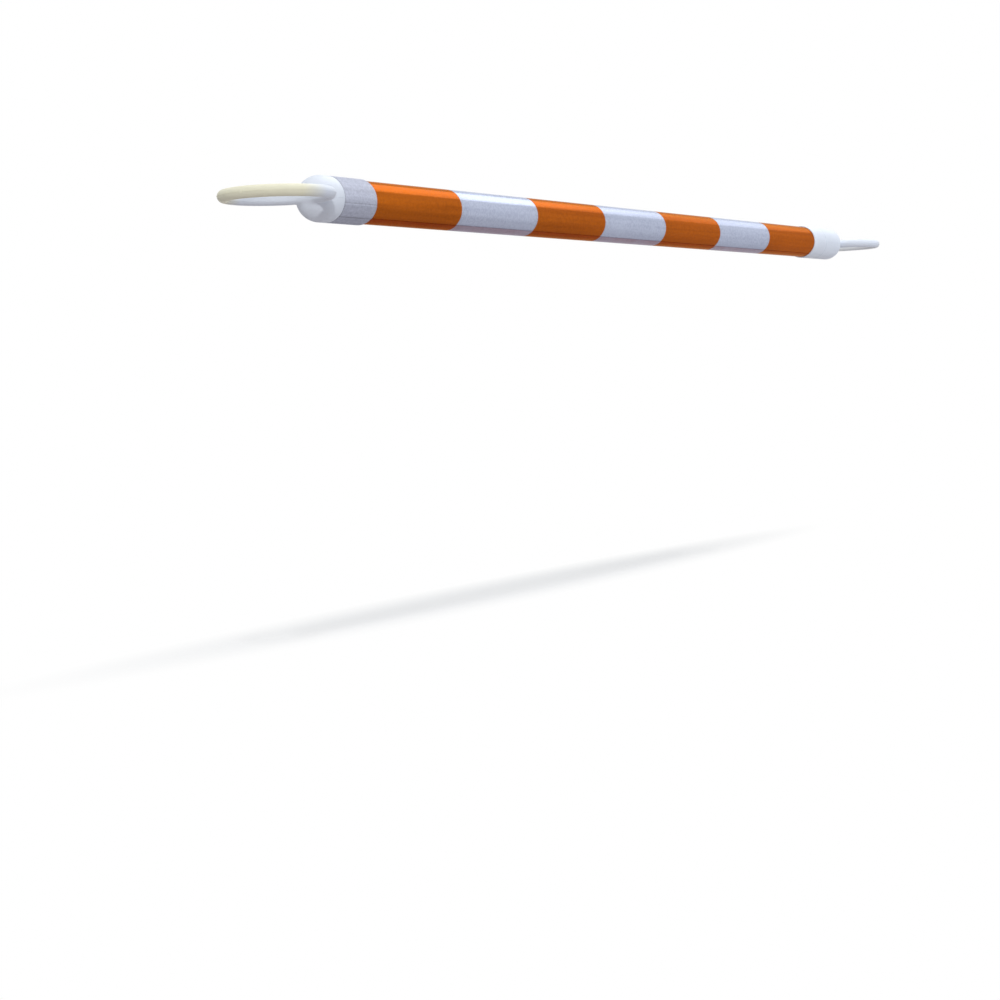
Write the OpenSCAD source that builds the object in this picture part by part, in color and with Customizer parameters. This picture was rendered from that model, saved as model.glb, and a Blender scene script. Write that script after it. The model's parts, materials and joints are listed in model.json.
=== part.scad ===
// Telescoping cone bar: a striped outer tube, an inner tube that slides out of it, and a ring at each end.
// The centre of the fixed ring is the origin, the bar runs along +X and the bores of the rings face +Z.
// Millimetres, with the inner tube pushed fully home.

/* [Rings] */
// Bore of each end ring
ring_bore_d = 84; // [70:1:110]
// Diameter of the round rod that each ring is moulded as
rod_d = 11; // [8:0.5:14]
// Height of the flat land around the bore
land_h = 4; // [2:0.5:6]

/* [End caps] */
// How far the tip of the dome passes the middle of the rod
dome_sink = 4; // [0:0.5:4.5]
// Straight length of the fixed cap between its dome and the sheeting on its skirt
fixed_shank_l = 10.5; // [4:0.5:30]
// Length of the skirt of the fixed cap over the tube
skirt_l = 52; // [30:1:90]
// Wall of the skirt
skirt_wall = 1.2; // [0.8:0.1:3]
// Straight length of the sliding cap between its dome and its open face
sliding_shank_l = 48; // [22:1:70]
// Wall of the hollow domes
dome_wall = 3; // [2:0.2:4]
// Width of the ledge that the end of the outer tube stands on
ledge_w = 3; // [2:0.2:5]
// How far the socket of the sliding cap reaches into its dome
socket_into_dome = 7; // [2:1:10]

/* [Tubes] */
// Outside diameter of the bare outer tube
tube_d = 40; // [36:0.5:50]
// Wall of the outer tube
tube_wall = 1.6; // [1.2:0.1:2.4]
// Radial gap between the two tubes
tube_gap = 2.4; // [2:0.1:4]
// Wall of the inner tube
inner_wall = 1.6; // [1.2:0.1:2.4]

/* [Sheeting] */
// Length of one band of sheeting
band_l = 152.4; // [90:0.1:180]
// Bands on the outer tube
outer_bands = 7; // [3:1:9]
// How many fewer bands the inner tube has
bands_fewer = 1; // [1:1:2]
// Thickness of the sheeting
sheet_t = 0.3; // [0.2:0.05:0.5]

/* [Mouth collar] */
// Length of the collar
collar_l = 40; // [26:1:70]
// Length of the lip that guides the inner tube
lip_l = 10; // [8:1:16]
// Chamfer on the edges of the collar
collar_chamfer = 0.6; // [0.2:0.1:0.8]
// Width of the grip ring in the lip
grip_w = 4; // [2:0.5:6]
// Radial thickness of the grip ring
grip_t = 2.5; // [1.5:0.1:3.2]

/* [Slide] */
// Length of the guide bush
bush_l = 26; // [14:1:50]
// Width of the split in the guide bush
bush_split = 2; // [1:0.5:5]
// Step from the outside of the inner tube down to the journal of the end plug
journal_step = 2; // [1.6:0.1:4]
// Thickness of each flange of the end plug
flange_l = 3; // [2:0.5:6]
// Length of the end plug inside the inner tube
spigot_l = 25; // [10:1:50]
// Wall of the hollow end plug under its journal
plug_wall = 2.4; // [1.6:0.1:5]
// Length of the stop ring
stop_l = 10; // [6:1:24]
// Bare tube between the last inner band and the stop ring
stop_margin = 2; // [1:0.5:10]

/* [Clearances] */
// Radial running clearance of the bush, the journal and the grip ring
run_gap = 0.08; // [0.04:0.01:0.1]
// Radial clearance of the lip over the sheeting of the inner tube
lip_gap = 0.35; // [0.3:0.05:0.6]
// Radial clearance of the flanges and the stop ring in the outer tube
flange_gap = 0.6; // [0.4:0.1:0.8]
// End play on each side of the bush
bush_play = 0.3; // [0.2:0.05:0.6]
// Gap between the collar and the sliding cap when the bar is pushed home
joint_gap = 0.4; // [0.3:0.1:1]
// Gap behind the end plug when the bar is pushed home
plug_gap = 5; // [2:1:12]

/* [Hidden] */
inner_bands = outer_bands - bands_fewer;
$fn = 96;

white_plastic = "#f1f2f3";
tube_plastic = "#e4e5e6";
orange_sheet = "#c8691e";
white_sheet = "#c9cedb";
guide_plastic = "#4a4d52";
grip_rubber = "#2b2b2d";

// Overlap that carries a cut past a face
cut = 1;

// Radii of the tubes, out from the middle
tube_r = tube_d / 2;
tube_bore_r = tube_r - tube_wall;
inner_r = tube_bore_r - tube_gap;
inner_bore_r = inner_r - inner_wall;
inner_sheet_r = inner_r + sheet_t;
skirt_r = tube_r + skirt_wall;
cap_r = skirt_r + sheet_t;

// Ring: the land is the chord of the rod's section that the bore cuts
rod_r = rod_d / 2;
ring_bore_r = ring_bore_d / 2;
ring_r = ring_bore_r + sqrt(pow(rod_r, 2) - pow(land_h / 2, 2));
dome_from_ring = ring_r - dome_sink + cap_r;
fixed_hollow_r = tube_r - ledge_w;

// Stations along the bar
tube_start_x = dome_from_ring + fixed_shank_l;
skirt_end_x = tube_start_x + skirt_l;
collar_x = skirt_end_x + outer_bands * band_l;
collar_end_x = collar_x + collar_l;
lip_x = collar_end_x - lip_l;
cap_face_x = collar_end_x + joint_gap;
sliding_dome_x = cap_face_x + sliding_shank_l;
sliding_ring_x = sliding_dome_x + dome_from_ring;
inner_end_x = sliding_dome_x + socket_into_dome;

// End plug, from its free face inwards
plug_x = tube_start_x + plug_gap;
journal_x = plug_x + flange_l;
bush_x = journal_x + bush_play;
journal_end_x = bush_x + bush_l + bush_play;
inner_start_x = journal_end_x + flange_l;
journal_r = inner_r - journal_step;
plug_hole_r = min(journal_r, inner_bore_r) - plug_wall;
flange_r = tube_bore_r - flange_gap;
stop_end_x = cap_face_x - inner_bands * band_l - stop_margin;

// Grip ring in the middle of the lip
grip_r = inner_sheet_r + run_gap;
grip_x = lip_x + (lip_l - grip_w) / 2;
lip_r = inner_sheet_r + lip_gap;

// How far a round hollow of radius r reaches into a dome and leaves its wall
function hollow_depth(r) = sqrt(max(0, pow(cap_r - dome_wall, 2) - pow(r, 2)));

function is_orange(i) = i % 2 == 1;
function pair_number(i) = ceil(i / 2);
function outer_band_name(i) = str(is_orange(i) ? "orange_band_" : "white_band_", pair_number(i));
function inner_band_name(i) = str("inner_", outer_band_name(i));

// A shape turned about the bar, from points of radius and station
module turned(profile) {
    rotate([0, 90, 0]) rotate_extrude() polygon(profile);
}

// A plain ring or tube about the bar
module sleeve(x0, x1, bore_r, outside_r) {
    turned([[bore_r, x0], [outside_r, x0], [outside_r, x1], [bore_r, x1]]);
}

// A solid rod about the bar, used for shanks and for bores
module round_bar(x0, x1, r) {
    translate([x0, 0, 0]) rotate([0, 90, 0]) cylinder(h = x1 - x0, r = r);
}

// Round rod bent into a ring about +Z
module ring_rod() {
    rotate_extrude() translate([ring_r, 0]) circle(r = rod_r, $fn = 48);
}

module outer_tube() {
    color(tube_plastic) sleeve(tube_start_x, lip_x, tube_bore_r, tube_r);
}

// Ring, dome, shank and the skirt that goes over the outer tube, moulded in one piece
module outer_ring_cap() {
    color(white_plastic)
    difference() {
        union() {
            ring_rod();
            translate([dome_from_ring, 0, 0]) sphere(r = cap_r);
            round_bar(dome_from_ring, tube_start_x, cap_r);
            round_bar(tube_start_x - cut, skirt_end_x, skirt_r);
        }
        translate([0, 0, -rod_d]) cylinder(h = 2 * rod_d, r = ring_bore_r);
        round_bar(dome_from_ring - hollow_depth(fixed_hollow_r), tube_start_x + cut, fixed_hollow_r);
        round_bar(tube_start_x, skirt_end_x + cap_r, tube_r);
    }
}

// White sheeting wrapped round the skirt
module sleeve_band() {
    color(white_sheet) sleeve(tube_start_x, skirt_end_x, skirt_r, cap_r);
}

// Collar glued on the open end of the outer tube, with a lip and a groove for the grip ring
module mouth_collar() {
    c = collar_chamfer;
    color(white_plastic)
    turned([
        [tube_r, collar_x], [cap_r - c, collar_x], [cap_r, collar_x + c],
        [cap_r, collar_end_x - c], [cap_r - c, collar_end_x], [lip_r, collar_end_x],
        [lip_r, grip_x + grip_w], [grip_r + grip_t, grip_x + grip_w],
        [grip_r + grip_t, grip_x], [lip_r, grip_x], [lip_r, lip_x], [tube_r, lip_x]
    ]);
}

// Rubber ring that rubs on the inner tube and holds the length that is set
module grip_ring() {
    color(grip_rubber) sleeve(grip_x, grip_x + grip_w, grip_r, grip_r + grip_t);
}

// Band i of the outer tube, counted from the fixed cap
module outer_band(i) {
    x0 = skirt_end_x + (i - 1) * band_l;
    color(is_orange(i) ? orange_sheet : white_sheet) sleeve(x0, x0 + band_l, tube_r, tube_r + sheet_t);
}

// Split bush that runs in the outer tube and turns on the journal of the end plug
module guide_bush() {
    color(guide_plastic)
    difference() {
        sleeve(bush_x, bush_x + bush_l, journal_r + run_gap, tube_bore_r - run_gap);
        translate([bush_x - cut, -bush_split / 2, 0]) cube([bush_l + 2 * cut, bush_split, tube_r]);
    }
}

module inner_tube() {
    color(tube_plastic) sleeve(inner_start_x, inner_end_x, inner_bore_r, inner_r);
}

// Ring, dome and shank with a socket for the inner tube, moulded in one piece
module inner_ring_cap() {
    color(white_plastic)
    difference() {
        union() {
            translate([sliding_ring_x, 0, 0]) ring_rod();
            translate([sliding_dome_x, 0, 0]) sphere(r = cap_r);
            round_bar(cap_face_x, sliding_dome_x, cap_r);
        }
        translate([sliding_ring_x, 0, -rod_d]) cylinder(h = 2 * rod_d, r = ring_bore_r);
        round_bar(cap_face_x - cut, inner_end_x, inner_r);
        round_bar(inner_end_x - cut, sliding_dome_x + hollow_depth(inner_bore_r), inner_bore_r);
    }
}

// Plug glued into the inner tube, with two flanges that keep the bush on its journal
module end_plug() {
    color(guide_plastic)
    turned([
        [plug_hole_r, plug_x], [flange_r, plug_x], [flange_r, journal_x], [journal_r, journal_x],
        [journal_r, journal_end_x], [flange_r, journal_end_x], [flange_r, inner_start_x],
        [inner_bore_r, inner_start_x], [inner_bore_r, inner_start_x + spigot_l],
        [plug_hole_r, inner_start_x + spigot_l]
    ]);
}

// Ring glued on the inner tube that meets the lip of the collar at full length
module stop_ring() {
    color(guide_plastic) sleeve(stop_end_x - stop_l, stop_end_x, inner_r, flange_r);
}

// Band i of the inner tube, counted from the sliding cap
module inner_band(i) {
    x1 = cap_face_x - (i - 1) * band_l;
    color(is_orange(i) ? orange_sheet : white_sheet) sleeve(x1 - band_l, x1, inner_r, inner_sheet_r);
}

// Travel of the inner tube until the stop ring meets the lip
echo(travel = lip_x - stop_end_x, sliding_ring_x = sliding_ring_x);

outer_tube();
outer_ring_cap();
sleeve_band();
mouth_collar();
grip_ring();
for (i = [1 : outer_bands]) {
    outer_band(i);
}
guide_bush();
inner_tube();
inner_ring_cap();
end_plug();
stop_ring();
for (i = [1 : inner_bands]) {
    inner_band(i);
}
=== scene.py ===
"""Looks of a telescoping cone bar: moulded ring caps, wrapped reflective sheeting, floor, lights and camera.

Metres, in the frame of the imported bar: +X along the bar, +Z up, the fixed ring's centre at the origin.
"""
import json
import math

import bpy
from mathutils import Euler, Matrix, Vector


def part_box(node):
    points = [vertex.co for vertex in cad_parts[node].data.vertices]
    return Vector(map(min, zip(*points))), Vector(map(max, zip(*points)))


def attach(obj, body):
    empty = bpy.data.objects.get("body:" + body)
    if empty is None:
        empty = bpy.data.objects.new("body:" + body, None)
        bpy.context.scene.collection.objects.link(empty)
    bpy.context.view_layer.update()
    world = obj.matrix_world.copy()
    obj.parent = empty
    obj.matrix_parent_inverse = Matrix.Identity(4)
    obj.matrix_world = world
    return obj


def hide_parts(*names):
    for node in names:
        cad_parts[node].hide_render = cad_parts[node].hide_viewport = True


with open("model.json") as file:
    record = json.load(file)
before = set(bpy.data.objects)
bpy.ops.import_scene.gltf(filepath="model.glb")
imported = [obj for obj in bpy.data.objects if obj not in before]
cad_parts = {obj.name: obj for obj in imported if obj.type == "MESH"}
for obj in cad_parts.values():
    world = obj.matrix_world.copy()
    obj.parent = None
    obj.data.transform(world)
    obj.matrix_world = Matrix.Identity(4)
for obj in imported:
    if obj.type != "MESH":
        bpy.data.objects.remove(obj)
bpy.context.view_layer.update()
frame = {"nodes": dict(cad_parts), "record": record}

# Sizes read from the frame
MM_PER_M = 1000
mounts = {mount["name"]: mount for mount in frame["record"]["mounts"]}
RING_BORE_R = mounts["outer_ring"]["dims"]["r_mm"] / MM_PER_M
LAND_H = mounts["outer_ring"]["dims"]["length_mm"] / MM_PER_M
FIXED_RING_X = mounts["outer_ring"]["pos_m"][0]
SLIDING_RING_X = mounts["inner_ring"]["pos_m"][0]
RING_OUT_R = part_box("outer_ring_cap")[1].y
CAP_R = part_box("outer_ring_cap")[1].z
TUBE_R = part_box("outer_tube")[1].z
INNER_TUBE_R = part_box("inner_tube")[1].z
SKIRT_START_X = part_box("sleeve_band")[0].x
SKIRT_END_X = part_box("sleeve_band")[1].x
CAP_FACE_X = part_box("inner_ring_cap")[0].x
COLLAR_LOW, COLLAR_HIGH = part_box("mouth_collar")

# The rod of a ring, from the ring's wall and its flat land
ring_wall = RING_OUT_R - RING_BORE_R
ROD_R = (ring_wall ** 2 + (LAND_H / 2) ** 2) / (2 * ring_wall)
RING_R = RING_OUT_R - ROD_R

# Sizes of the mouldings and the film that the boxes of the frame don't show
DOME_SINK = 0.004
SHEET_T = 0.0003
LIP_L = 0.010
LIP_GAP = 0.00035
DOME_FROM_RING = RING_R - DOME_SINK + CAP_R
SKIRT_R = CAP_R - SHEET_T

# Small marks of the moulding: edge break, parting bead round the mould's split and gate mark
EDGE_BREAK = 0.0009
BEAD_RISE = 0.0002
BEAD_W = 0.00045
GATE_R = 0.0017
GATE_RISE = 0.0003

# Meshing: segments round the bar, round a ring and round its rod, and steps of a dome's arc
TURN_SEGMENTS = 128
RING_SEGMENTS = 192
ROD_SEGMENTS = 40
ARC_STEPS = 24
ALONG_BAR = (0, math.pi / 2, 0)
DOUBLES_REACH = 1e-7

# A head is remeshed in voxels and evened out, and the root of its ring is then smoothed into a fillet
MOULD_VOXEL = 0.0006
EVEN_SHARE, EVEN_PASSES = 0.5, 4
BLEND_REACH = 0.005
BLEND_SHARE, BLEND_PASSES = 0.6, 90

# Cutters are this many times as large as what they cut, or run this far past its face
CUTTER_OVERSIZE = 4
CUTTER_OVERRUN = 0.010

# How far the skirt sinks into its head, and how far a piece stays clear of the surface that it lies on
SKIRT_SINK = 0.002
FILM_LIFT = 0.00002

# Edges that turn by more than this stay sharp, on the caps and on the collar and the film
CREASE_DEG, FINE_CREASE_DEG = 40, 30


def deselect():
    """Leaves edit mode and selects nothing."""
    if bpy.context.object and bpy.context.object.mode != "OBJECT":
        bpy.ops.object.mode_set(mode="OBJECT")
    bpy.ops.object.select_all(action="DESELECT")


def pick(piece):
    """Makes one piece the only selected and the active one."""
    deselect()
    piece.select_set(True)
    bpy.context.view_layer.objects.active = piece


def settle(piece):
    """Puts the place of a piece into its mesh."""
    pick(piece)
    bpy.ops.object.transform_apply(location=True, rotation=True, scale=True)


def place(piece, x):
    """Moves a piece along the bar to its place."""
    piece.location.x = x
    settle(piece)


def modify(piece, kind, **settings):
    """Adds one modifier and applies it."""
    pick(piece)
    modifier = piece.modifiers.new(kind.title(), kind)
    for key, value in settings.items():
        setattr(modifier, key, value)
    bpy.ops.object.modifier_apply(modifier=modifier.name)


def combine(piece, tool, operation):
    """Joins or cuts a piece with a tool piece, which is used up."""
    modify(piece, "BOOLEAN", object=tool, operation=operation, solver="EXACT")
    bpy.data.objects.remove(tool)


def break_edges(piece, width, segments):
    """Rounds the sharp edges of a piece."""
    modify(piece, "BEVEL", width=width, segments=segments, limit_method="ANGLE",
           angle_limit=math.radians(CREASE_DEG))


def smooth(piece, crease_deg):
    """Shades a piece smooth between its creases."""
    pick(piece)
    bpy.ops.object.shade_smooth_by_angle(angle=math.radians(crease_deg))


def turned(name, stations, closed):
    """A circle extruded and scaled from station to station along the bar; each station is (x, radius)."""
    deselect()
    x, radius = stations[0]
    bpy.ops.mesh.primitive_circle_add(
        vertices=TURN_SEGMENTS, radius=radius, location=(x, 0, 0), rotation=ALONG_BAR)
    piece = bpy.context.object
    piece.name = name
    settle(piece)
    bpy.ops.object.mode_set(mode="EDIT")
    bpy.ops.mesh.select_all(action="SELECT")
    if not closed:
        bpy.ops.mesh.edge_face_add()
    extrude = bpy.ops.mesh.extrude_edges_move if closed else bpy.ops.mesh.extrude_region_move
    for next_x, next_radius in stations[1:]:
        extrude(TRANSFORM_OT_translate={"value": (next_x - x, 0, 0)})
        share = next_radius / radius
        bpy.ops.transform.resize(value=(1, share, share), center_override=(next_x, 0, 0))
        x, radius = next_x, next_radius
    bpy.ops.mesh.select_all(action="SELECT")
    bpy.ops.mesh.remove_doubles(threshold=DOUBLES_REACH)
    bpy.ops.mesh.normals_make_consistent(inside=False)
    bpy.ops.object.mode_set(mode="OBJECT")
    return piece


def plain_cylinder(x0, x1, radius):
    """A cylinder about the bar, to cut or to join with."""
    deselect()
    bpy.ops.mesh.primitive_cylinder_add(
        vertices=TURN_SEGMENTS, radius=radius, depth=x1 - x0,
        location=((x0 + x1) / 2, 0, 0), rotation=ALONG_BAR)
    piece = bpy.context.object
    settle(piece)
    return piece


def ring_rod(rod_r):
    """The round rod of a ring, cut flat round its bore."""
    deselect()
    bpy.ops.mesh.primitive_torus_add(
        major_segments=RING_SEGMENTS, minor_segments=ROD_SEGMENTS, major_radius=RING_R, minor_radius=rod_r)
    rod = bpy.context.object
    deselect()
    bpy.ops.mesh.primitive_cylinder_add(
        vertices=RING_SEGMENTS, radius=RING_BORE_R, depth=CUTTER_OVERSIZE * ROD_R)
    combine(rod, bpy.context.object, "DIFFERENCE")
    return rod


def plain_head(name, face, grow, edge_break):
    """Dome, shank and ring of a cap as sharp solids about the ring's centre, all grown by one amount."""
    toward = -math.copysign(1, face)
    dome_x = -toward * DOME_FROM_RING
    radius = CAP_R + grow
    arc = [math.radians(90 * step / ARC_STEPS) for step in range(ARC_STEPS)]
    stations = [(face, radius - edge_break)]
    if edge_break:
        stations.append((face + toward * edge_break, radius))
    stations += [(dome_x + toward * radius * math.sin(a), radius * math.cos(a)) for a in arc]
    head = turned(name, stations, closed=False)
    combine(head, ring_rod(ROD_R + grow), "UNION")
    return head


def parting_bead(face, edge_break):
    """The thin raised line that the split of the mould leaves along the middle plane of a cap."""
    bead = plain_head("parting_bead", face, BEAD_RISE, edge_break)
    deselect()
    bpy.ops.mesh.primitive_cube_add(size=1)
    slab = bpy.context.object
    slab.scale = (CUTTER_OVERSIZE * abs(face), CUTTER_OVERSIZE * RING_OUT_R, BEAD_W)
    settle(slab)
    combine(bead, slab, "INTERSECT")
    return bead


def gate_mark(face):
    """The cut-off sprue, a low round pad at the far point of a ring."""
    ends = [-math.copysign(reach, face) for reach in (RING_R, RING_OUT_R + GATE_RISE)]
    pad = plain_cylinder(min(ends), max(ends), GATE_R)
    break_edges(pad, GATE_RISE / 2, segments=2)
    return pad


def moulded_head(name, face, edge_break):
    """One moulding of dome, shank and ring about the ring's centre, with a fillet at the ring's root."""
    dome_centre = Vector((math.copysign(DOME_FROM_RING, face), 0, 0))
    head = plain_head(name, face, 0, edge_break)
    modify(head, "REMESH", mode="VOXEL", voxel_size=MOULD_VOXEL, adaptivity=0)
    modify(head, "SMOOTH", factor=EVEN_SHARE, iterations=EVEN_PASSES)
    root = head.vertex_groups.new(name="ring_root")
    for vertex in head.data.vertices:
        co = vertex.co
        from_rod = abs(math.hypot(math.hypot(co.x, co.y) - RING_R, co.z) - ROD_R)
        from_dome = abs((co - dome_centre).length - CAP_R)
        nearness = 1 - max(from_rod, from_dome) / BLEND_REACH
        if nearness > 0:
            full_from_halfway = min(1, 2 * nearness)
            root.add([vertex.index], full_from_halfway, "REPLACE")
    modify(head, "SMOOTH", factor=BLEND_SHARE, iterations=BLEND_PASSES, vertex_group="ring_root")
    combine(head, parting_bead(face, edge_break), "UNION")
    combine(head, gate_mark(face), "UNION")
    return head


def dress(piece, body, slot, material, *nodes):
    """Rides a piece on its body in place of the CAD nodes that it stands for."""
    piece.data.materials.clear()
    piece.data.materials.append(material)
    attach(piece, body)
    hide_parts(*nodes)


def fixed_ring_cap(material):
    """Near cap: the head and the skirt under the white sheeting."""
    face = SKIRT_START_X - FIXED_RING_X
    skirt_end = SKIRT_END_X - FIXED_RING_X
    skirt_root = face - SKIRT_SINK
    cap = moulded_head("fixed_ring_cap", face, 0)
    skirt = turned("skirt", [
        (skirt_root, TUBE_R), (skirt_root, SKIRT_R), (skirt_end, SKIRT_R),
        (skirt_end, TUBE_R), (skirt_root, TUBE_R)], closed=True)
    combine(cap, skirt, "UNION")
    place(cap, FIXED_RING_X)
    smooth(cap, CREASE_DEG)
    dress(cap, "outer", "cap_plastic", material, "outer_ring_cap")


def sliding_ring_cap(material):
    """Far cap: the head with the socket for the inner tube."""
    face = CAP_FACE_X - SLIDING_RING_X
    socket_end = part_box("inner_tube")[1].x - SLIDING_RING_X
    cap = moulded_head("sliding_ring_cap", face, EDGE_BREAK)
    socket = plain_cylinder(face - CUTTER_OVERRUN, socket_end, INNER_TUBE_R + FILM_LIFT)
    combine(cap, socket, "DIFFERENCE")
    place(cap, SLIDING_RING_X)
    smooth(cap, CREASE_DEG)
    dress(cap, "inner", "cap_plastic", material, "inner_ring_cap")


def mouth_collar(material):
    """Collar on the open end of the outer tube, with its lip and grip groove."""
    grip_low, grip_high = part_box("grip_ring")
    lip_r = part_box("inner_orange_band_1")[1].z + LIP_GAP
    x0, x1 = COLLAR_LOW.x, COLLAR_HIGH.x
    bore = TUBE_R + FILM_LIFT
    collar = turned("mouth_collar_moulding", [
        (x0, bore), (x0, CAP_R), (x1, CAP_R), (x1, lip_r), (grip_high.x, lip_r),
        (grip_high.x, grip_high.z), (grip_low.x, grip_high.z), (grip_low.x, lip_r),
        (x1 - LIP_L, lip_r), (x1 - LIP_L, bore), (x0, bore)], closed=True)
    break_edges(collar, EDGE_BREAK, segments=4)
    smooth(collar, FINE_CREASE_DEG)
    dress(collar, "outer", "cap_plastic", material, "mouth_collar")


# A strip of sheeting: its rows along the bar, bunched towards its ends, its steps round the tube, and the
# bare edge beside it
STRIP_ROWS, STRIP_STEPS = 18, 360
END_BUNCHING = 0.85
EDGE_GAP = 0.0001

# Its lap: the climb over its own start, and how far and how strongly seams and cut edges are darkened: dirt
# with a painted shadow beside the end's edge and at the cut edge, and painted shade at the foot of the climb
CLIMB_DEG = 4
SEAM_DEG = 1.8
RIM_REACH = 0.002
FOOT_SHADE, CUT_DIRT_AND_SHADE = 0.6, 0.5


def fading(distance, reach):
    """1 at a line, falling to 0 at a reach from it."""
    return max(0, 1 - distance / reach)


def eased(share):
    """A share from 0 to 1 with a soft start and end."""
    return share * share * (3 - 2 * share)


def wrap(name, node, body, slot, material, start_deg, lap_deg, way):
    """A strip of sheeting rolled one way round the tube; its end laps over its start, or falls short."""
    low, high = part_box(node)
    length = high.x - low.x - 2 * EDGE_GAP
    inner_r = high.z - SHEET_T + FILM_LIFT
    deselect()
    bpy.ops.mesh.primitive_grid_add(x_subdivisions=STRIP_ROWS, y_subdivisions=STRIP_STEPS, size=1)
    strip = bpy.context.object
    strip.name = name
    rim = strip.data.attributes.new("rim", "FLOAT", "POINT")
    seam = strip.data.attributes.new("seam", "FLOAT", "POINT")
    double = strip.data.attributes.new("double", "FLOAT", "POINT")
    turn_deg = 360 + lap_deg
    foot_deg = 360 - CLIMB_DEG if lap_deg > 0 else turn_deg
    for index, vertex in enumerate(strip.data.vertices):
        along = vertex.co.x + 0.5
        along -= END_BUNCHING * math.sin(math.tau * along) / math.tau
        around = (vertex.co.y + 0.5) * turn_deg
        climb = min(1, max(0, (around - foot_deg) / CLIMB_DEG))
        radius = inner_r + SHEET_T * eased(climb)
        angle = math.radians(start_deg + way * around)
        vertex.co = (low.x + EDGE_GAP + along * length, radius * math.cos(angle), radius * math.sin(angle))
        rim.data[index].value = fading(min(along, 1 - along) * length, RIM_REACH)
        if lap_deg > 0:
            # Seam marks: dirt with a painted shadow beside the end's edge and at the cut edge, and painted
            # shade at the foot of the climb
            beside_edge = fading(abs(around - lap_deg - SEAM_DEG / 2), SEAM_DEG)
            at_foot = fading(abs(around - foot_deg), SEAM_DEG)
            at_cut = fading(turn_deg - around, SEAM_DEG)
            seam.data[index].value = max(beside_edge, FOOT_SHADE * at_foot, CUT_DIRT_AND_SHADE * at_cut)
            double.data[index].value = climb
    pick(strip)
    bpy.ops.object.mode_set(mode="EDIT")
    bpy.ops.mesh.select_all(action="SELECT")
    bpy.ops.mesh.normals_make_consistent(inside=False)
    bpy.ops.object.mode_set(mode="OBJECT")
    middle = strip.data.polygons[len(strip.data.polygons) // 2]
    outward = middle.normal.dot(Vector((0, middle.center.y, middle.center.z))) > 0
    modify(strip, "SOLIDIFY", thickness=SHEET_T - 2 * FILM_LIFT, offset=1 if outward else -1)
    smooth(strip, FINE_CREASE_DEG)
    dress(strip, body, slot, material, node)


# Where a Mix node keeps its colour sockets, whose names it also gives to sockets of other kinds
MIX_FIRST, MIX_SECOND, MIX_RESULT = 6, 7, 2

# The range that noise mostly keeps to, and the depth of a grain
NOISE_LOW, NOISE_HIGH = 0.3, 0.7
GRAIN_DEPTH = 0.0001


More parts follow.
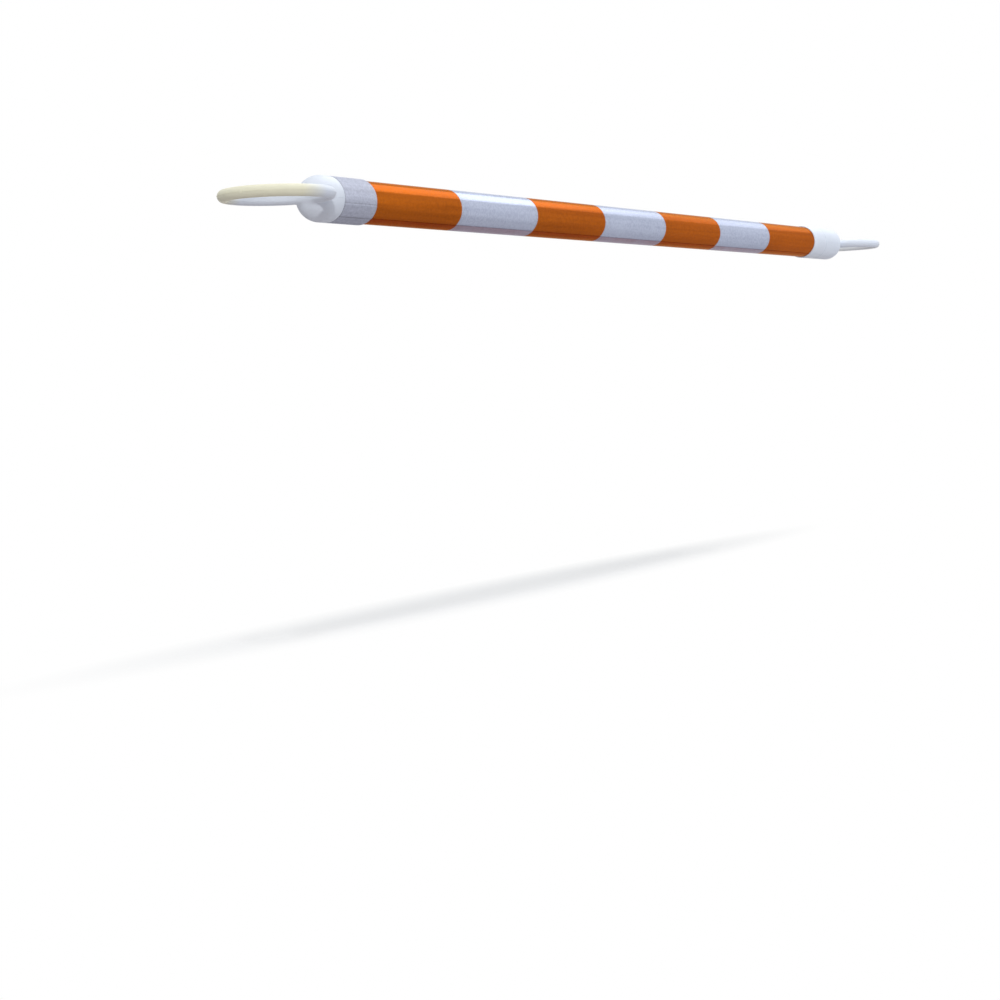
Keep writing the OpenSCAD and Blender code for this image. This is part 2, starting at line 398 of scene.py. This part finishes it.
class Finish:
    """A procedural material under construction, with short calls for its nodes."""

    def __init__(self, name):
        self.material = bpy.data.materials.new(name)
        self.material.use_nodes = True
        self.tree = self.material.node_tree
        self.shader = self.tree.nodes["Principled BSDF"]
        self.place = self.add("ShaderNodeTexCoord").outputs["Object"]

    def add(self, kind, **settings):
        """A new node with its settings."""
        made = self.tree.nodes.new(kind)
        for key, value in settings.items():
            setattr(made, key, value)
        return made

    def join(self, source, target):
        """Links one socket to another."""
        self.tree.links.new(source, target)

    def along_bar(self):
        """Place along the bar."""
        split = self.add("ShaderNodeSeparateXYZ")
        self.join(self.place, split.inputs[0])
        return split.outputs["X"]

    def stretched(self, scale, turn=(0, 0, 0)):
        """Object coordinates scaled per axis and turned."""
        mapping = self.add("ShaderNodeMapping")
        mapping.inputs["Scale"].default_value = scale
        mapping.inputs["Rotation"].default_value = turn
        self.join(self.place, mapping.inputs["Vector"])
        return mapping.outputs["Vector"]

    def noise(self, vector, scale, detail=2.0, rough=0.5):
        """Noise from 0 to 1."""
        made = self.add("ShaderNodeTexNoise")
        made.inputs["Scale"].default_value = scale
        made.inputs["Detail"].default_value = detail
        made.inputs["Roughness"].default_value = rough
        self.join(vector, made.inputs["Vector"])
        return made.outputs["Fac"]

    def span(self, value, low, high, to_low, to_high, curve="LINEAR"):
        """Maps a range of values onto another, held at its ends."""
        made = self.add("ShaderNodeMapRange", clamp=True, interpolation_type=curve)
        for key, number in (("From Min", low), ("From Max", high), ("To Min", to_low), ("To Max", to_high)):
            made.inputs[key].default_value = number
        self.join(value, made.inputs["Value"])
        return made.outputs["Result"]

    def patches(self, scale, detail, to_low, to_high):
        """Cloudy noise all over a piece, between two values."""
        return self.span(self.noise(self.place, scale, detail), NOISE_LOW, NOISE_HIGH, to_low, to_high)

    def blend(self, factor, first, second, mode="MIX"):
        """Mixes two colours; each is a colour or a socket."""
        made = self.add("ShaderNodeMix", data_type="RGBA", blend_type=mode)
        self.join(factor, made.inputs[0])
        for socket, colour in ((made.inputs[MIX_FIRST], first), (made.inputs[MIX_SECOND], second)):
            if isinstance(colour, tuple):
                socket.default_value = (*colour, 1)
            else:
                self.join(colour, socket)
        return made.outputs[MIX_RESULT]

    def math(self, operation, first, second):
        """A sum, a product or the larger, held from 0 to 1; each side is a socket or a number."""
        made = self.add("ShaderNodeMath", operation=operation, use_clamp=True)
        for socket, value in zip(made.inputs, (first, second)):
            if isinstance(value, (int, float)):
                socket.default_value = value
            else:
                self.join(value, socket)
        return made.outputs[0]

    def distance(self, vector, point):
        """Distance of coordinates from a point."""
        made = self.add("ShaderNodeVectorMath", operation="DISTANCE")
        made.inputs[1].default_value = point
        self.join(vector, made.inputs[0])
        return made.outputs["Value"]

    def attribute(self, name):
        """A value that the mesh carries."""
        return self.add("ShaderNodeAttribute", attribute_name=name).outputs["Fac"]

    def grain(self, height, strength, under=None):
        """A fine bump of a height, on top of another if given."""
        made = self.add("ShaderNodeBump")
        made.inputs["Strength"].default_value = strength
        made.inputs["Distance"].default_value = GRAIN_DEPTH
        self.join(height, made.inputs["Height"])
        if under is not None:
            self.join(under, made.inputs["Normal"])
        return made.outputs["Normal"]

    def surface(self, colour, rough, normal, **numbers):
        """The finished material; the numbers are the same all over its surface."""
        for key, socket in (("Base Color", colour), ("Roughness", rough), ("Normal", normal)):
            self.join(socket, self.shader.inputs[key])
        for key, value in numbers.items():
            self.shader.inputs[key.replace("_", " ")].default_value = value
        return self.material


# The outer half of each ring is tinted ivory, on the fixed ring more than on the sliding one: partly ageing,
# partly a painted warm reflection of the cones' light. The tone sets in and is full at these distances past
# the ring's centre, counted away from its cap
IVORY_FROM, IVORY_FULL = -0.004, 0.024
FIXED_RING_IVORY, SLIDING_RING_IVORY = 1.0, 0.25

# Tones of the moulding, each a darker and a lighter one, of its scuffs, and of the dirt and painted shade in
# its creases
MOULDING_TONES = (0.70, 0.75, 0.84), (0.755, 0.805, 0.895)
IVORY_TONES = (0.81, 0.79, 0.61), (0.855, 0.835, 0.665)
MOULDING_SCUFF, CREASE_DIRT_AND_SHADE = (0.56, 0.55, 0.53), (0.50, 0.48, 0.44)


def white_moulding():
    """Satin white plastic with fine mould grain, handling scuffs, dirt with painted shade in the creases, and
    rings tinted ivory partly by ageing and partly as a painted warm reflection.
    """
    f = Finish("white_moulding")
    cloud = f.patches(scale=22, detail=3, to_low=0, to_high=1)
    along = f.along_bar()
    # Ivory on the rings: partly ageing, partly a painted warm reflection of the cones' light
    fixed_ivory = f.span(along, FIXED_RING_X - IVORY_FULL, FIXED_RING_X - IVORY_FROM, FIXED_RING_IVORY, 0)
    sliding_ivory = f.span(along, SLIDING_RING_X + IVORY_FROM, SLIDING_RING_X + IVORY_FULL, 0, SLIDING_RING_IVORY)
    ivory_share = f.math("ADD", fixed_ivory, sliding_ivory)
    tone = f.blend(ivory_share, f.blend(cloud, *MOULDING_TONES), f.blend(cloud, *IVORY_TONES))
    rubbed = f.noise(f.stretched((60, 190, 190), (0.3, 0.5, 0.2)), scale=1, detail=6, rough=0.7)
    tone = f.blend(f.span(rubbed, 0.6, 0.72, 0, 0.4), tone, MOULDING_SCUFF)
    # Painted shade: creases and corners are darkened by their pointiness, together with a little dirt
    corner = f.add("ShaderNodeNewGeometry").outputs["Pointiness"]
    tone = f.blend(f.span(corner, 0.40, 0.49, 0.45, 0), tone, CREASE_DIRT_AND_SHADE)
    rough = f.patches(scale=60, detail=4, to_low=0.46, to_high=0.60)
    grain = f.grain(f.noise(f.place, scale=2600), strength=0.25)
    return f.surface(tone, rough, grain, Specular_IOR_Level=0.3)


# What the grain of glass beads takes from the colour of the sheeting, how much rougher the sheeting is where
# it is worn, and the roughness of its clear coat
BEAD_SHADE = (0.80, 0.80, 0.82)
WORN_ROUGHER = 0.3
COAT_ROUGHNESS = 0.06


def sheeting(name, light, deep, mark, lap_tone_and_reflection, seam_dirt_and_shade, metal, gloss, coat, tint):
    """Reflective film with bead grain, drawn streaks and scuffs, a tinted lap and darkened seams, under a
    clear coat; on the bands the lap's tint is a painted reddish reflection, and the seams carry dirt with
    painted shade.
    """
    f = Finish(name)
    beads = f.noise(f.place, scale=420, detail=3, rough=0.7)
    drawn = f.noise(f.stretched((2.5, 150, 150)), scale=1, detail=3)
    broad = f.noise(f.place, scale=9, detail=3)
    tone = f.blend(f.span(drawn, 0.34, 0.66, 0.05, 1), deep, light)
    tone = f.blend(f.span(beads, 0.40, 0.60, 0, 1), tone, BEAD_SHADE, "MULTIPLY")
    tone = f.blend(f.span(broad, 0.35, 0.7, 0, 0.35), tone, light)
    rubbed = f.noise(f.stretched((14, 260, 260), (0.2, 0.1, 0.35)), scale=1, detail=7, rough=0.75)
    dust = f.span(f.noise(f.place, scale=420, detail=4), 0.40, 0.66, 0.15, 0.45)
    at_ends = f.math("MULTIPLY", f.attribute("rim"), dust)
    worn = f.math("ADD", f.span(rubbed, 0.66, 0.74, 0, 0.45), at_ends)
    tone = f.blend(worn, tone, mark)
    # Painted reflection: on the bands the doubled film along the lap takes a reddish tint that stands in for
    # the cones' light; on the skirt it is only a little darker
    lap_share = f.math("MULTIPLY", f.attribute("double"), f.patches(scale=45, detail=4, to_low=0.75, to_high=1))
    tone = f.blend(lap_share, tone, lap_tone_and_reflection, "MULTIPLY")
    # Seams: dirt together with painted shade along the lap's edges and at the foot of its climb
    seam_dirt_and_shade_depth = f.span(f.noise(f.place, scale=160, detail=3), 0.3, 0.6, 0.45, 0.85)
    tone = f.blend(f.math("MULTIPLY", f.attribute("seam"), seam_dirt_and_shade_depth), tone, seam_dirt_and_shade, "MULTIPLY")
    rough = f.span(worn, 0, 1, gloss, gloss + WORN_ROUGHER)
    grain = f.grain(drawn, strength=0.05, under=f.grain(beads, strength=0.15))
    return f.surface(tone, rough, grain, Metallic=metal, Specular_IOR_Level=0.0, Specular_Tint=tint,
                     Coat_Weight=coat, Coat_Roughness=COAT_ROUGHNESS)


# How far the roughness of plain stock dips and rises
SATIN_DIP, SATIN_RISE = 0.06, 0.08


def satin(name, colour, shade, rough, grain_scale):
    """Plain moulded or extruded stock with cloudy tone and a fine grain."""
    f = Finish(name)
    tone = f.blend(f.patches(scale=35, detail=4, to_low=0, to_high=1), colour, shade)
    patchy = f.patches(scale=130, detail=3, to_low=rough - SATIN_DIP, to_high=rough + SATIN_RISE)
    grain = f.grain(f.noise(f.place, scale=grain_scale), strength=0.2)
    return f.surface(tone, patchy, grain)


def paint_cad(node, material):
    """Gives a CAD node its finish."""
    slots = frame["nodes"][node].data.materials
    slots.clear()
    slots.append(material)


# What the doubled sheeting and its seams take from the colour: on the bands the lap carries a painted reddish
# reflection and on the skirt it is a little darker; the seams carry dirt and painted shade
BAND_LAP_REFLECTION, BAND_SEAM_DIRT_AND_SHADE = (0.79, 0.51, 0.48), (0.66, 0.60, 0.59)
SKIRT_LAP, SKIRT_SEAM_DIRT_AND_SHADE = (0.95, 0.95, 0.96), (0.30, 0.27, 0.26)

# The finishes
MOULDING = white_moulding()
ORANGE = sheeting(
    "orange_sheeting", light=(0.48, 0.118, 0.012), deep=(0.36, 0.083, 0.008), mark=(0.52, 0.22, 0.08),
    lap_tone_and_reflection=BAND_LAP_REFLECTION, seam_dirt_and_shade=BAND_SEAM_DIRT_AND_SHADE, metal=0.42, gloss=0.17, coat=0.065, tint=(1.0, 0.55, 0.2, 1))
WHITE = sheeting(
    "white_sheeting", light=(0.55, 0.592, 0.73), deep=(0.45, 0.49, 0.615), mark=(0.33, 0.33, 0.37),
    lap_tone_and_reflection=BAND_LAP_REFLECTION, seam_dirt_and_shade=BAND_SEAM_DIRT_AND_SHADE, metal=0.34, gloss=0.17, coat=0.06, tint=(0.85, 0.9, 1, 1))
SLEEVE = sheeting(
    "skirt_sheeting", light=(0.59, 0.615, 0.725), deep=(0.44, 0.46, 0.545), mark=(0.34, 0.335, 0.36),
    lap_tone_and_reflection=SKIRT_LAP, seam_dirt_and_shade=SKIRT_SEAM_DIRT_AND_SHADE, metal=0.10, gloss=0.46, coat=0.0, tint=(0.9, 0.93, 1, 1))
TUBE = satin(
    "tube_stock", colour=(0.74, 0.75, 0.76), shade=(0.66, 0.67, 0.69), rough=0.40, grain_scale=1800)
GUIDE = satin(
    "guide_nylon", colour=(0.055, 0.058, 0.065), shade=(0.04, 0.042, 0.047), rough=0.45, grain_scale=1500)
RUBBER = satin(
    "grip_rubber", colour=(0.02, 0.02, 0.021), shade=(0.03, 0.03, 0.031), rough=0.70, grain_scale=2400)

# How far the strips lap, or on the inner tube fall short, where they start and which way they run: the
# skirt's lap faces the front, and the bands' laps face the floor
LAP_DEG = 34
INNER_GAP_DEG = 1.2
SKIRT_START_DEG, SKIRT_WAY = 196, 1
BAND_START_DEG, BAND_WAY = 267, -1

# Rolled by hand, each band starts a little off, by an amount that changes from band to band
DRIFT_DEG, DRIFT_STEP = 1.5, 5


def wrap_bands(body, prefix, lap_deg):
    """All orange and white bands of one tube."""
    body_nodes = frame["record"]["behaviour"]["bodies"][body]
    for colour, material in (("orange", ORANGE), ("white", WHITE)):
        bands = [node for node in body_nodes if node.startswith(prefix + colour + "_band_")]
        for number, node in enumerate(bands):
            drift = DRIFT_DEG * math.sin(DRIFT_STEP * number + len(colour))
            wrap(node.replace("band", "wrap"), node, body, colour + "_sheeting", material,
                 BAND_START_DEG + drift, lap_deg, BAND_WAY)


fixed_ring_cap(MOULDING)
sliding_ring_cap(MOULDING)
mouth_collar(MOULDING)
wrap("skirt_wrap", "sleeve_band", "outer", "white_sheeting", SLEEVE, SKIRT_START_DEG, LAP_DEG, SKIRT_WAY)
wrap_bands("outer", "", LAP_DEG)
wrap_bands("inner", "inner_", -INNER_GAP_DEG)
for node, material in (("outer_tube", TUBE), ("inner_tube", TUBE), ("grip_ring", RUBBER),
                       ("guide_bush", GUIDE), ("end_plug", GUIDE), ("stop_ring", GUIDE)):
    paint_cad(node, material)

# Floor, as far below the rings as the bar hangs in use; seen, it fades to white away from the bar's shadow,
# and mirrored, away from the bar itself
FLOOR_Z = -0.60
FLOOR_SIZE = 60.0
FADE_FROM, FADE_TO = 0.5, 1.7
FADE_WIDTHWAYS = 10.0
MIRROR_FADE_FROM, MIRROR_FADE_TO = 0.8, 2.4
MIRROR_LEAST = 0.33
FLOOR_SEEN, FLOOR_BOUNCE = (0.98, 0.98, 0.98), (0.55, 0.52, 0.53)
FLOOR_LIFT = 0.14
BAR_MIDDLE = Vector(((FIXED_RING_X + SLIDING_RING_X) / 2, 0, 0))
KEY_WAY = Vector((-0.784, -0.543, 0.302))
SHADOW_MIDDLE = BAR_MIDDLE + KEY_WAY * (FLOOR_Z / KEY_WAY.z)

# World: how it lights
WORLD_TINT = (0.96, 0.98, 1.0, 1)
WORLD_LEVEL = 0.38

# Lamps: a long ceiling panel, a gleam just above it that shows only in reflections, a small far key that
# casts the shadow, and a cool fill from the side; each with its place, size and brightness
CEILING_AT, CEILING_SIZE, CEILING_LEVEL = Vector((1.55, -0.05, 1.5)), (6.7, 1.5), 1.25
GLEAM_AT, GLEAM_SIZE, GLEAM_LEVEL = Vector((2.05, -0.05, 1.52)), (2.6, 1.4), 1.25
KEY_REACH, KEY_SIZE, KEY_LEVEL = 9.0, (0.144, 0.144), 3650
FILL_AT, FILL_SIZE, FILL_LEVEL = Vector((2.3, -2.4, 0.4)), (1.5, 1.5), 3.2
FILL_AIM, FILL_TINT = Vector((1.3, 0, 0)), (0.88, 0.94, 1)

# Camera: the eye, where it looks and its focal length in pixels of a 1000 px frame
EYE = (-1.5250, -1.1251, -0.1694)
YAW_DEG, PITCH_DEG, ROLL_DEG = 59.224, -3.287, -2.298
FOCAL_PX, FRAME_PX, SENSOR_MM = 2120.1, 1000, 36.0


def pale_floor():
    """A white floor that keeps the bar's shadow and runs out into the white background."""
    deselect()
    bpy.ops.mesh.primitive_plane_add(size=FLOOR_SIZE, location=(BAR_MIDDLE.x, 0, FLOOR_Z))
    floor = bpy.context.object
    floor.name = "floor"
    settle(floor)
    f = Finish("pale_floor")
    f.tree.nodes.remove(f.shader)
    rays = f.add("ShaderNodeLightPath").outputs
    widened = (1, FADE_WIDTHWAYS, 1)
    from_shadow = f.distance(f.stretched(widened), SHADOW_MIDDLE * Vector(widened))
    fade = f.span(from_shadow, FADE_FROM, FADE_TO, 0, 1, "SMOOTHSTEP")
    from_bar = f.distance(f.place, BAR_MIDDLE + Vector((0, 0, FLOOR_Z)))
    mirror_fade = f.span(from_bar, MIRROR_FADE_FROM, MIRROR_FADE_TO, MIRROR_LEAST, 1, "SMOOTHSTEP")
    lit = f.add("ShaderNodeBsdfDiffuse")
    f.join(f.blend(rays["Is Camera Ray"], FLOOR_BOUNCE, FLOOR_SEEN), lit.inputs["Color"])
    lift = f.add("ShaderNodeEmission")
    f.join(f.math("MULTIPLY", rays["Is Camera Ray"], FLOOR_LIFT), lift.inputs["Strength"])
    near = f.add("ShaderNodeAddShader")
    f.join(lit.outputs[0], near.inputs[0])
    f.join(lift.outputs[0], near.inputs[1])
    mirrored = f.math("MAXIMUM", rays["Is Glossy Ray"], rays["Is Transmission Ray"])
    white = f.math("MAXIMUM",
                   f.math("MULTIPLY", rays["Is Camera Ray"], fade),
                   f.math("MULTIPLY", mirrored, mirror_fade))
    mix = f.add("ShaderNodeMixShader")
    f.join(white, mix.inputs["Fac"])
    f.join(near.outputs[0], mix.inputs[1])
    f.join(f.add("ShaderNodeEmission").outputs[0], mix.inputs[2])
    f.join(mix.outputs[0], f.tree.nodes["Material Output"].inputs["Surface"])
    floor.data.materials.append(f.material)


def white_world():
    """White where it is seen or mirrored, and a softer level where it lights."""
    world = bpy.data.worlds.new("studio")
    bpy.context.scene.world = world
    world.use_nodes = True
    nodes, links = world.node_tree.nodes, world.node_tree.links
    light = nodes["Background"]
    light.inputs["Color"].default_value = WORLD_TINT
    light.inputs["Strength"].default_value = WORLD_LEVEL
    white = nodes.new("ShaderNodeBackground")
    white.inputs["Color"].default_value = (1, 1, 1, 1)
    rays = nodes.new("ShaderNodeLightPath").outputs
    seen = rays["Is Camera Ray"]
    for ray in ("Is Glossy Ray", "Is Transmission Ray"):
        either = nodes.new("ShaderNodeMath")
        either.operation = "MAXIMUM"
        links.new(seen, either.inputs[0])
        links.new(rays[ray], either.inputs[1])
        seen = either.outputs[0]
    mix = nodes.new("ShaderNodeMixShader")
    links.new(seen, mix.inputs["Fac"])
    links.new(light.outputs[0], mix.inputs[1])
    links.new(white.outputs[0], mix.inputs[2])
    links.new(mix.outputs[0], nodes["World Output"].inputs["Surface"])


def below(location):
    """The point straight below a lamp, at the height of the bar."""
    return Vector((location.x, location.y, 0))


def panel(name, location, target, size, radiance, colour=(1, 1, 1)):
    """A soft rectangular light of a given brightness, aimed at a point."""
    light = bpy.data.lights.new(name, "AREA")
    light.shape = "RECTANGLE"
    light.size, light.size_y = size
    light.energy = math.pi * size[0] * size[1] * radiance
    light.color = colour
    lamp = bpy.data.objects.new(name, light)
    lamp.location = location
    lamp.rotation_euler = (target - location).to_track_quat("-Z", "Y").to_euler()
    lamp.visible_camera = False
    bpy.context.scene.collection.objects.link(lamp)
    return lamp


def photo_camera():
    """The camera, turned, tilted and rolled about its eye."""
    camera = bpy.data.cameras.new("photo_camera")
    camera.sensor_width = SENSOR_MM
    camera.lens = SENSOR_MM * FOCAL_PX / FRAME_PX
    holder = bpy.data.objects.new("photo_camera", camera)
    holder.location = EYE
    aim = Euler((math.radians(90 + PITCH_DEG), 0, math.radians(-YAW_DEG))).to_matrix()
    holder.rotation_euler = (aim @ Matrix.Rotation(math.radians(ROLL_DEG), 3, "Z")).to_euler()
    bpy.context.scene.collection.objects.link(holder)
    bpy.context.scene.camera = holder


pale_floor()
white_world()
panel("ceiling", CEILING_AT, below(CEILING_AT), CEILING_SIZE, CEILING_LEVEL)
gleam = panel("gleam", GLEAM_AT, below(GLEAM_AT), GLEAM_SIZE, GLEAM_LEVEL)
gleam.visible_diffuse = False
panel("key", BAR_MIDDLE + KEY_REACH * KEY_WAY, BAR_MIDDLE, KEY_SIZE, KEY_LEVEL)
panel("side_fill", FILL_AT, FILL_AIM, FILL_SIZE, FILL_LEVEL, FILL_TINT)
photo_camera()
bpy.context.scene.view_settings.view_transform = "Standard"
